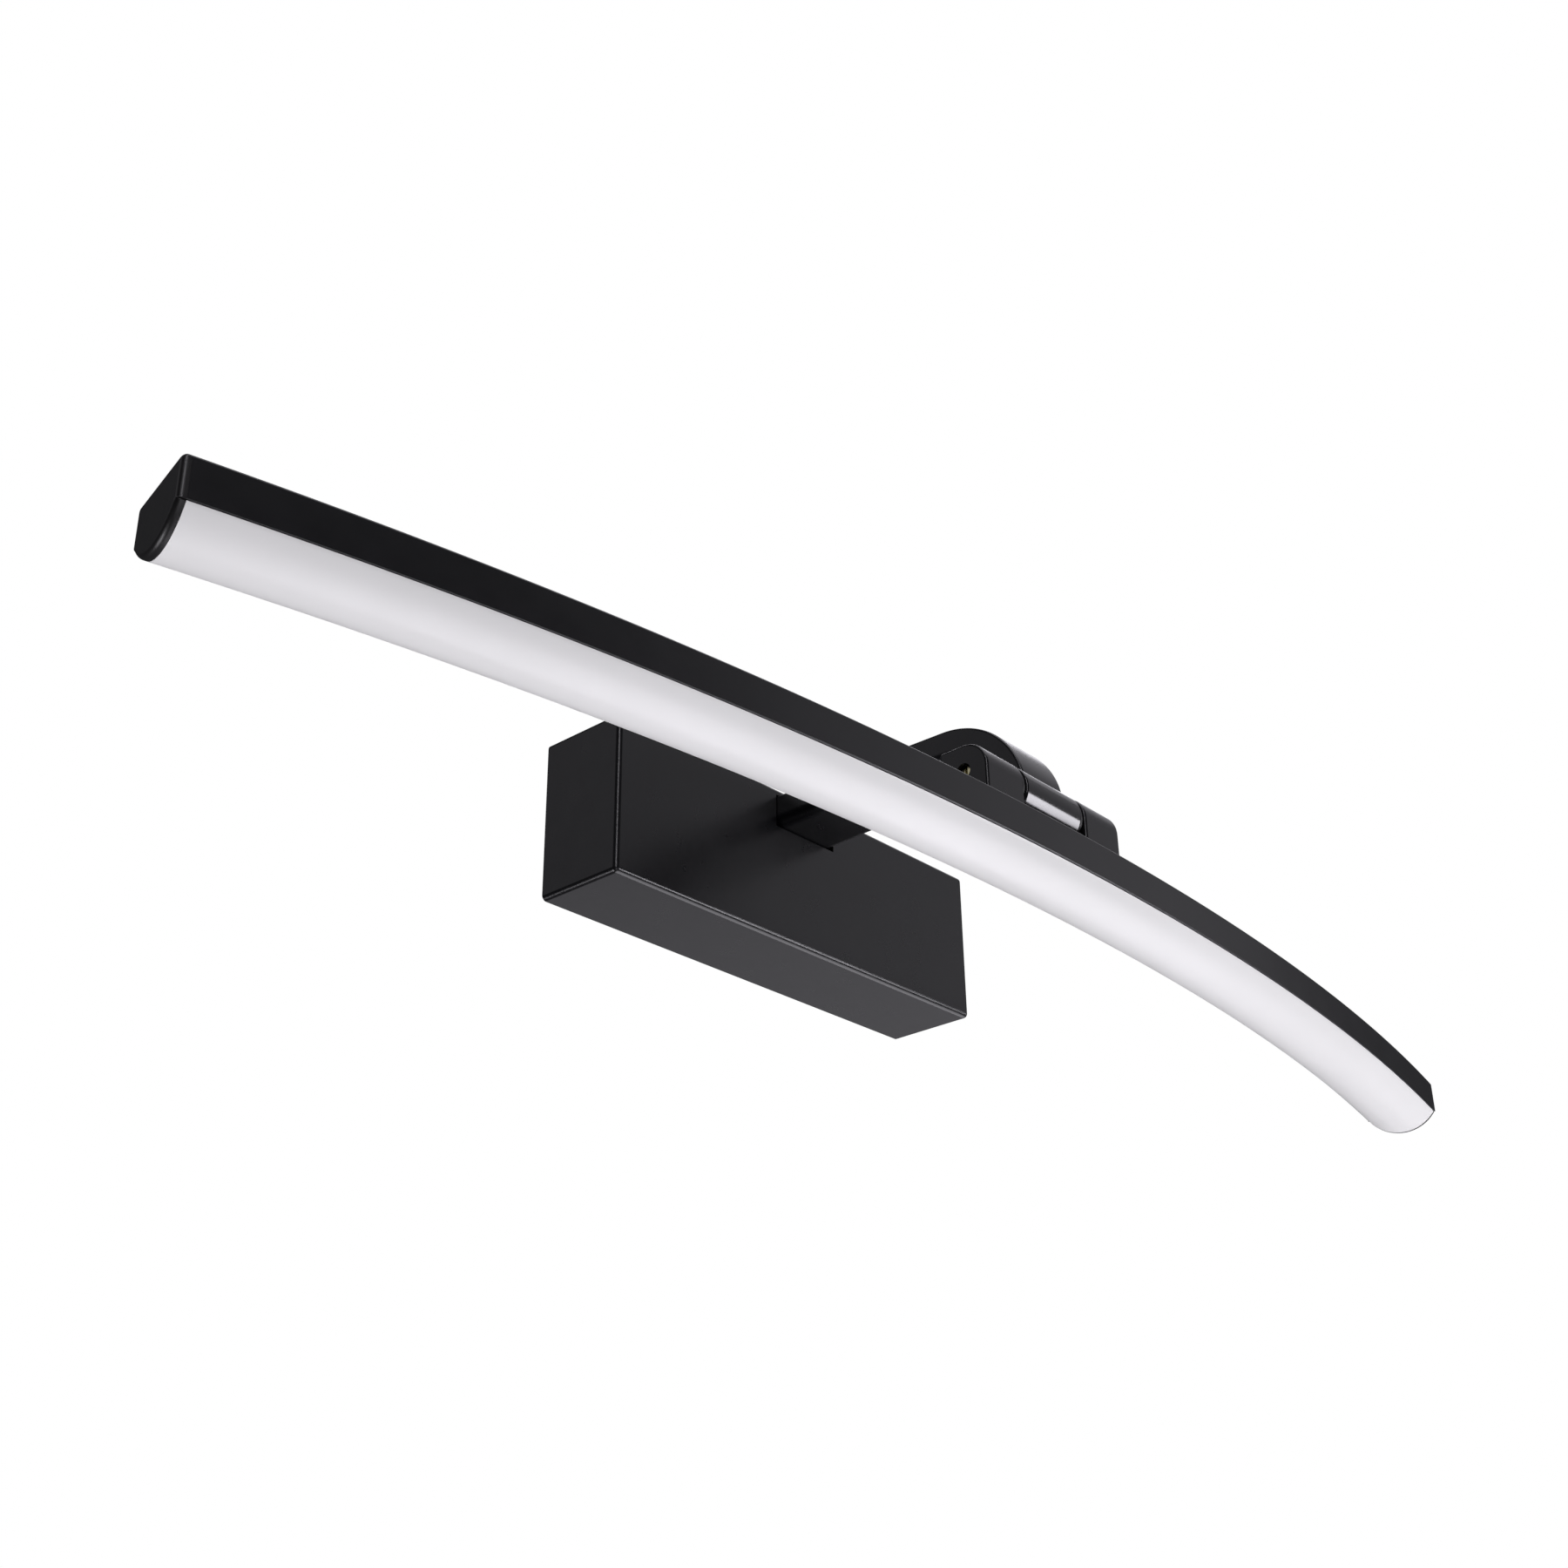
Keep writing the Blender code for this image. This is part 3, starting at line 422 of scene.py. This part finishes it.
def pan_head(radius, height, shank, length):
    """Profile of a pan-head screw, tip first, head on top."""
    dome = arc((radius - 0.0006, height - 0.0006), 0.0006, 0, 80, 4)
    return [(shank * 0.6, -length), (shank, -length + 0.0006), (shank, -0.0001), (radius - 0.0001, -0.0001),
            (radius, 0.0001)] + dome + [(radius * 0.45, height)]


def cover_screws():
    for side in ("left", "right"):
        node = "cover_screw_" + side
        low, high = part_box(node)
        middle = (low + high) / 2
        seat = Vector((middle.x, middle.y, high.z - 0.0016))
        screw = turned(node + "_detail", pan_head(0.0027, 0.0016, 0.0014, 0.0054), seat, "Z", 48)
        carve(screw, *cross_recess(node, (middle.x, middle.y, high.z), "Z"))
        finish_piece(screw, MATS["screw_black"], "base", [node], 30)


# Arm -------------------------------------------------------------------------------------------

def arm_section(width, inset, steps=6):
    """The arm's section as (across, outward): crisp outer edges, and softly rounded lower ones."""
    half, rise = width / 2 - inset, ARM_THICK / 2 - inset
    top = max(ARM_TOP_EDGE - inset, 0.0003)
    bottom = max(ARM_LOW_EDGE - inset, 0.0003)
    points = arc((-half + bottom, -rise + bottom), bottom, 180, 270, steps + 4)
    points += arc((half - bottom, -rise + bottom), bottom, 270, 360, steps + 4)
    points += arc((half - top, rise - top), top, 0, 90, steps)
    points += arc((-half + top, rise - top), top, 90, 180, steps)
    return points


def arm_loops(inset, start_y, end_angle, steps):
    """Section loops along the straight part and then round the bend, narrowing from the base to the hinge."""
    low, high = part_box("arm")
    middle = high.z - ARM_THICK / 2
    bend_y, bend_z = ARM_BEND
    radius = middle - bend_z
    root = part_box("base_cover")[0].y - 0.002
    straight = root - bend_y
    run = straight + radius * math.radians(ARM_BEND_END)
    wide = high.x - low.x
    stations = [((start_y, middle), (0.0, 1.0), 0.0)]
    stations += [((root - straight * i / 12, middle), (0.0, 1.0), straight * i / 12) for i in range(12)]
    for i in range(steps + 1):
        angle = math.radians(end_angle * i / steps)
        out = (-math.sin(angle), math.cos(angle))
        place = (bend_y + radius * out[0], bend_z + radius * out[1])
        stations.append((place, out, straight + radius * angle))
    loops = []
    for (y, z), (out_y, out_z), done in stations:
        section = arm_section(wide + (ARM_END_WIDTH - wide) * min(done / run, 1.0), inset)
        loops.append([(across, y + rise * out_y, z + rise * out_z) for across, rise in section])
    return loops


def arm():
    low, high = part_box("arm")
    piece = loft("arm_tube", arm_loops(0.0, high.y, ARM_BEND_END, 64))
    inside = loft("inside", arm_loops(ARM_WALL, high.y + 0.01, 60, 32))
    barrel_low, barrel_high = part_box("hinge_barrel")
    radius = (barrel_high.z - barrel_low.z) / 2 + 0.0001
    seat = turned("seat", [(radius, -0.02), (radius, 0.02)], HINGE, "X", 128)
    outlet = turned("outlet", [(0.0022, -0.009), (0.0022, -0.001)],
                    (0, LEAD_OUTLET_Y, high.z - ARM_THICK / 2), "Z", 40)
    carve(piece, inside, seat, outlet)
    finish_piece(piece, MATS["black"], "base", ["arm"], 30)


# Hinge -----------------------------------------------------------------------------------------

def hinge_barrel():
    low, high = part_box("hinge_barrel")
    half, radius, edge = (high.x - low.x) / 2, (high.z - low.z) / 2, 0.0007
    rim = arc((radius - edge, half - edge), edge, 0, 90, 5)
    profile = [(r, -h) for r, h in reversed(rim)] + rim
    profile = [(BOLT_BORE, -half)] + profile + [(BOLT_BORE, half), (BOLT_BORE, -half)]
    piece = turned("hinge_barrel_turned", profile, HINGE, "X", 128)
    finish_piece(piece, MATS["barrel"], "base", ["hinge_barrel"], 30)


def friction_washers():
    for side in ("left", "right"):
        node = "friction_washer_" + side
        low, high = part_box(node)
        outer, edge = (high.z - low.z) / 2, 0.0002
        length = high.x - low.x
        profile = [(BOLT_BORE, 0), (outer - edge, 0), (outer, edge), (outer, length - edge),
                   (outer - edge, length), (BOLT_BORE, length), (BOLT_BORE, 0)]
        piece = turned(node + "_turned", profile, (low.x, HINGE.y, HINGE.z), "X", 96)
        finish_piece(piece, MATS["nylon_black"], "base", [node], 30)


def clevis_bracket():
    """Two ears and the web under the barrel, cast as one, with softened edges."""
    low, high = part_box("clevis_bracket")
    radius = (high.y - low.y) / 2
    ear_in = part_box("friction_washer_right")[1].x + SEAM
    outline = [(low.y, low.z)] + arc((HINGE.y, HINGE.z), radius, 180, 90, 32)
    outline += [(high.y, high.z), (high.y, low.z)]
    piece = loft("clevis_bracket_cast", [[(x, y, z) for y, z in outline] for x in (low.x, high.x)])
    web_top = low.z + 0.0026
    slot = block("slot", (-ear_in, low.y - radius, web_top), (ear_in, high.y + radius, high.z + radius))
    carve(piece, slot)
    soften(piece, 0.0009, 5, 50)
    notch = block("notch", (-0.0028, HINGE.y + 0.0023, low.z - 0.01),
                  (0.0028, high.y + 0.01, web_top + 0.002))
    bore = turned("bore", [(BOLT_BORE, -0.04), (BOLT_BORE, 0.04)], HINGE, "X", 64)
    carve(piece, notch, bore)
    nut_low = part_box("spring_washer")[0].x - SEAM
    well = turned("well", [(0.0042, nut_low), (0.0042, high.x + 0.01)], (0, HINGE.y, HINGE.z), "X", 64)
    carve(piece, well)
    for side in ("left", "right"):
        middle = centre_of("bracket_screw_" + side)
        carve(piece, turned("thread", [(0.0015, -0.01), (0.0015, 0.0062)],
                            (middle.x, middle.y, low.z), "Z", 32))
    finish_piece(piece, MATS["black"], "head", ["clevis_bracket"], 30)


def hinge_hardware():
    low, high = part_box("hinge_bolt")
    radius = (high.z - low.z) / 2
    length = high.x - low.x
    crown = arc((radius - 0.0005, 0.0005), 0.0005, 270, 360, 4)
    profile = crown + [(radius, length - 0.0006), (radius - 0.0005, length)]
    bolt = turned("hinge_bolt_turned", profile, (low.x, HINGE.y, HINGE.z), "X", 48)
    slot = block("slot", (low.x - 0.002, HINGE.y - 0.0004, HINGE.z - 0.004),
                 (low.x + 0.0011, HINGE.y + 0.0004, HINGE.z + 0.004))
    carve(bolt, slot)
    finish_piece(bolt, MATS["yellow_zinc"], "head", ["hinge_bolt"], 30)


# Light bar -------------------------------------------------------------------------------------

BAR_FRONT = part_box("lamp_channel")[0].y
BAR_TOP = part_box("lamp_channel")[1].z
BAR_HALF = BAR_RADIUS * math.asin(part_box("lamp_channel")[1].x / BAR_RADIUS)
BAR_LOW = BAR_TOP - BAR_SIDE
DIFFUSER_TOP = BAR_LOW - DIFFUSER_GAP


def bar_point(along, depth, height):
    """A point on the bar: along its front face, behind its front face, and up."""
    angle = along / BAR_RADIUS
    radius = BAR_RADIUS - depth
    return (radius * math.sin(angle), BAR_FRONT + BAR_RADIUS - radius * math.cos(angle), height)


def bar_sweep(name, section, start, end):
    along = [start + (end - start) * i / BAR_STEPS for i in range(BAR_STEPS + 1)]
    return loft(name, [[bar_point(a, depth, height) for depth, height in section] for a in along])


def channel_section():
    """A U-shaped profile: rounded top edges, and a small radius under each side."""
    edge, lip, back, wall = BAR_EDGE, 0.00025, BAR_DEPTH, BAR_WALL
    points = arc((edge, BAR_TOP - edge), edge, 180, 90, 5)
    points += arc((back - edge, BAR_TOP - edge), edge, 90, 0, 5)
    points += arc((back - lip, BAR_LOW + lip), lip, 0, -90, 4)
    points += [(back - wall, BAR_LOW), (back - wall, BAR_TOP - wall), (wall, BAR_TOP - wall), (wall, BAR_LOW)]
    points += arc((lip, BAR_LOW + lip), lip, 270, 180, 4)
    return points


def bulge(half, inset=0.0, steps=36):
    """The diffuser's arc-shaped underside, front to back, over a half width.

    An inset gives its inner face.
    """
    chord = BAR_DEPTH / 2 - SETBACK
    radius = (chord ** 2 + DROP ** 2) / (2 * DROP)
    reach = math.degrees(math.asin(half / (radius - inset)))
    centre = (BAR_DEPTH / 2, DIFFUSER_TOP - DIFFUSER_LIP - DROP + radius)
    return arc(centre, radius - inset, 270 - reach, 270 + reach, steps)


def diffuser_section():
    """The opal cover: a closed underside, and flanges up inside the channel."""
    top, wall, flange = DIFFUSER_TOP, DIFFUSER_WALL, BAR_WALL + 0.0002
    inner, rise, back, middle = flange + wall, top + FLANGE_RISE, BAR_DEPTH, BAR_DEPTH / 2
    section = [(SETBACK, top)] + bulge(middle - SETBACK) + [(back - SETBACK, top)]
    section += [(back - flange, top), (back - flange, rise), (back - inner, rise)]
    section += list(reversed(bulge(middle - inner, wall, 12)))
    section += [(inner, rise), (flange, rise), (flange, top)]
    return section


def light_bar():
    channel = bar_sweep("lamp_channel_profile", channel_section(), -BAR_HALF, BAR_HALF)
    grommet = centre_of("lead_grommet")
    hole = turned("hole", [(0.0024, -0.006), (0.0024, 0.006)], (grommet.x, grommet.y, BAR_TOP), "Z", 40)
    carve(channel, hole)
    finish_piece(channel, MATS["bar"], "head", ["lamp_channel"], 30)
    diffuser = bar_sweep("diffuser_opal", diffuser_section(), -BAR_HALF + 0.0001, BAR_HALF - 0.0001)
    finish_piece(diffuser, MATS["opal"], "head", ["diffuser"], 40)


def drawn_in(points, amount):
    """Pulls an outline in by an amount all round, towards its middle."""
    depths, heights = [p[0] for p in points], [p[1] for p in points]
    wide, tall = max(depths) - min(depths), max(heights) - min(heights)
    middle = (min(depths) + wide / 2, min(heights) + tall / 2)
    shares = (1 - 2 * amount / wide, 1 - 2 * amount / tall)
    return [tuple(middle[i] + (p[i] - middle[i]) * shares[i] for i in (0, 1)) for p in points]


def cap_outline():
    """The channel's outline, the small step under its sides, and the diffuser's underside."""
    edge, back = BAR_EDGE, BAR_DEPTH
    outline = arc((edge, BAR_TOP - edge), edge, 180, 90, 6)
    outline += arc((back - edge, BAR_TOP - edge), edge, 90, 0, 6)
    outline += [(back, BAR_LOW), (back - SETBACK, BAR_LOW)]
    outline += list(reversed(bulge(back / 2 - SETBACK)))
    return outline + [(SETBACK, BAR_LOW), (0, BAR_LOW)]


def end_caps():
    """Push-in caps: thin plates that follow the bar's outline, with a rounded outer rim."""
    outline = cap_outline()
    rim, inward, steps = 0.0014, 0.0012, 8
    for side, sign in (("left", -1), ("right", 1)):
        node = "end_cap_" + side
        low_corner, high_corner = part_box(node)
        reach = max(abs(low_corner.x), abs(high_corner.x))
        end = BAR_RADIUS * math.asin(reach / BAR_RADIUS)
        stations = [(BAR_HALF + 0.00003, 0.0)]
        for i in range(steps + 1):
            turn = math.radians(90 * i / steps)
            stations.append((end - rim + rim * math.sin(turn), inward * (1 - math.cos(turn))))
        loops = [[bar_point(sign * along, depth, height) for depth, height in drawn_in(outline, inset)]
                 for along, inset in stations]
        plate = loft(node + "_plate", loops)
        finish_piece(plate, MATS["cap"], "head", [node], 30)


# Leads -----------------------------------------------------------------------------------------

def hinge_lead():
    """The low-voltage lead that crosses the hinge behind the barrel, from the arm into the light bar."""
    grommet = centre_of("lead_grommet")
    arm_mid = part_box("arm")[1].z - ARM_THICK / 2
    route = [(0, -0.0960, arm_mid - 0.0010), (0, -0.0990, arm_mid - 0.0035), (0, -0.1008, 0.0080),
             (0, -0.1032, 0.0010), (0, -0.1044, -0.0050), (0, -0.1058, -0.0105), (0, -0.1085, -0.0140),
             (0, grommet.y, -0.0168), (0, grommet.y, -0.0200), (0.0030, grommet.y - 0.0004, -0.0222),
             (0.0100, grommet.y - 0.0030, -0.0226)]
    lead = tube("hinge_lead", route, LEAD_RADIUS, 18, 10)
    lead.data.materials.append(MATS["wire_black"])
    lead.data.shade_smooth()
    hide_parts("head_lead")
    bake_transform(lead)


# Carried-over CAD nodes --------------------------------------------------------------------------

def carried_nodes():
    """CAD nodes whose shape is right already get their materials here."""
    looks = {
        "zinc": ["wall_plate", "arm_flange"],
        "steel": ["driver_screw_left", "driver_screw_right", "earth_screw", "earth_washer", "weld_stud_left",
                  "weld_stud_right", "flange_nut_left", "flange_nut_right", "spring_washer", "hinge_nut",
                  "bracket_screw_left", "bracket_screw_right"],
        "brass": ["clamp_screw_live", "clamp_screw_neutral"],
        "rubber": ["cable_grommet", "lead_grommet"],
        "nylon": ["terminal_block"],
        "driver": ["driver_case"],
        "wire_brown": ["mains_lead_live"],
        "wire_blue": ["mains_lead_neutral"],
        "wire_black": ["output_lead"],
        "board": ["led_board"],
        "tape": ["thermal_tape"],
        "phosphor": [name for name in frame["nodes"] if name.startswith("led_package_")],
    }
    for look, names in looks.items():
        for name in names:
            slots = frame["nodes"][name].data.materials
            slots.clear()
            slots.append(MATS[look])


# Camera, lights and floor ------------------------------------------------------------------------

def camera():
    """Below and to the left of the light, looking up along it."""
    yaw, pitch, roll = 0.8452, 0.4702, -0.0135
    forward = Vector((math.sin(yaw) * math.cos(pitch), math.cos(yaw) * math.cos(pitch), math.sin(pitch)))
    right = Vector((math.cos(yaw), -math.sin(yaw), 0.0))
    up = right.cross(forward)
    side = right * math.cos(roll) + up * math.sin(roll)
    top = up * math.cos(roll) - right * math.sin(roll)
    data = bpy.data.cameras.new("camera")
    data.lens = 48.01
    data.sensor_width = 36.0
    data.clip_start = 0.01
    obj = bpy.data.objects.new("camera", data)
    bpy.context.scene.collection.objects.link(obj)
    turn = Matrix((side, top, -forward)).transposed()
    obj.matrix_world = Matrix.Translation((-0.4408, -0.4125, -0.2653)) @ turn.to_4x4()
    bpy.context.scene.camera = obj


def area_light(name, place, size, power, along=(0, 0, 1)):
    """A soft box that the camera doesn't see, its second side lying as near as it can to a direction."""
    data = bpy.data.lights.new(name, "AREA")
    data.shape = "RECTANGLE"
    data.size, data.size_y = size
    data.energy = power
    data.color = (0.96, 0.94, 1.0)
    obj = bpy.data.objects.new(name, data)
    bpy.context.scene.collection.objects.link(obj)
    back = (Vector(place) - Vector(LIT_POINT)).normalized()
    across = Vector(along).cross(back).normalized()
    turn = Matrix((across, back.cross(across), back)).transposed()
    obj.matrix_world = Matrix.Translation(place) @ turn.to_4x4()
    obj.visible_camera = False


def studio():
    """White surround for the camera, a dim one for the object's light, soft boxes and a pale floor."""
    world = bpy.data.worlds.new("studio")
    world.use_nodes = True
    bpy.context.scene.world = world
    tree = world.node_tree
    seen = tree.nodes["Background"]
    path = tree.nodes.new("ShaderNodeLightPath")
    lit = tree.nodes.new("ShaderNodeBackground")
    mix = tree.nodes.new("ShaderNodeMixShader")
    seen.inputs["Color"].default_value = (1, 1, 1, 1)
    seen.inputs["Strength"].default_value = 1.0
    lit.inputs["Color"].default_value = (0.92, 0.92, 1.0, 1)
    lit.inputs["Strength"].default_value = 0.05
    tree.links.new(path.outputs["Is Camera Ray"], mix.inputs["Fac"])
    tree.links.new(lit.outputs["Background"], mix.inputs[1])
    tree.links.new(seen.outputs["Background"], mix.inputs[2])
    tree.links.new(mix.outputs["Shader"], tree.nodes["World Output"].inputs["Surface"])
    area_light("front_right_box", (1.10, -0.98, 0.72), (1.1, 1.0), 1.3)
    area_light("barrel_box", (1.0, -1.18, -0.16), (0.45, 0.65), 12)
    area_light("under_box", (0.72, 0.0, -1.15), (1.2, 1.2), 13.5, (0, 1, 0))
    area_light("low_front_box", (-0.49, -1.05, -0.87), (0.8, 0.8), 2.5)
    area_light("low_left_box", (-0.70, 0.57, -1.0), (0.5, 0.5), 6)
    area_light("low_back_box", (1.65, 1.35, -1.0), (1.6, 1.1), 2.4)
    area_light("back_left_box", (-1.2, 0.8, 0.8), (1.0, 1.0), 1.1)
    area_light("left_strip", (-0.77, -0.90, 0.59), (0.15, 1.0), 4)
    area_light("back_box", (1.1, 0.8, 1.0), (1.0, 1.0), 5)
    area_light("high_right_box", (1.06, 0.1, 1.18), (1.0, 0.8), 1.5)
    area_light("top_box", (0.2, -0.5, 1.5), (1.5, 1.0), 8, (0, 1, 0))
    floor()
    bpy.context.scene.view_settings.view_transform = "Standard"


def floor():
    """A plain disc below the camera's view. It is pale mainly by its own emission, and is hidden from
    diffuse and glossy rays, so that it doesn't change the light on the object.
    """
    bm = bmesh.new()
    bmesh.ops.create_circle(bm, cap_ends=True, radius=FLOOR_RADIUS, segments=96)
    bmesh.ops.translate(bm, vec=(0, 0, FLOOR_HEIGHT), verts=bm.verts)
    obj = mesh_object("floor", bm)
    mat, tree, shader = new_material("pale_floor")
    tree.links.new(tinted(tree, noise(tree, 2), (0.80, 0.80, 0.80), (0.84, 0.84, 0.84)),
                   shader.inputs["Base Color"])
    shader.inputs["Roughness"].default_value = 0.8
    shader.inputs["Emission Color"].default_value = (1.0, 1.0, 1.0, 1)
    shader.inputs["Emission Strength"].default_value = 0.62
    obj.data.materials.append(mat)
    obj.visible_diffuse = False
    obj.visible_glossy = False


camera()
base_cover()
cover_screws()
arm()
hinge_barrel()
friction_washers()
clevis_bracket()
hinge_hardware()
light_bar()
end_caps()
hinge_lead()
carried_nodes()
studio()
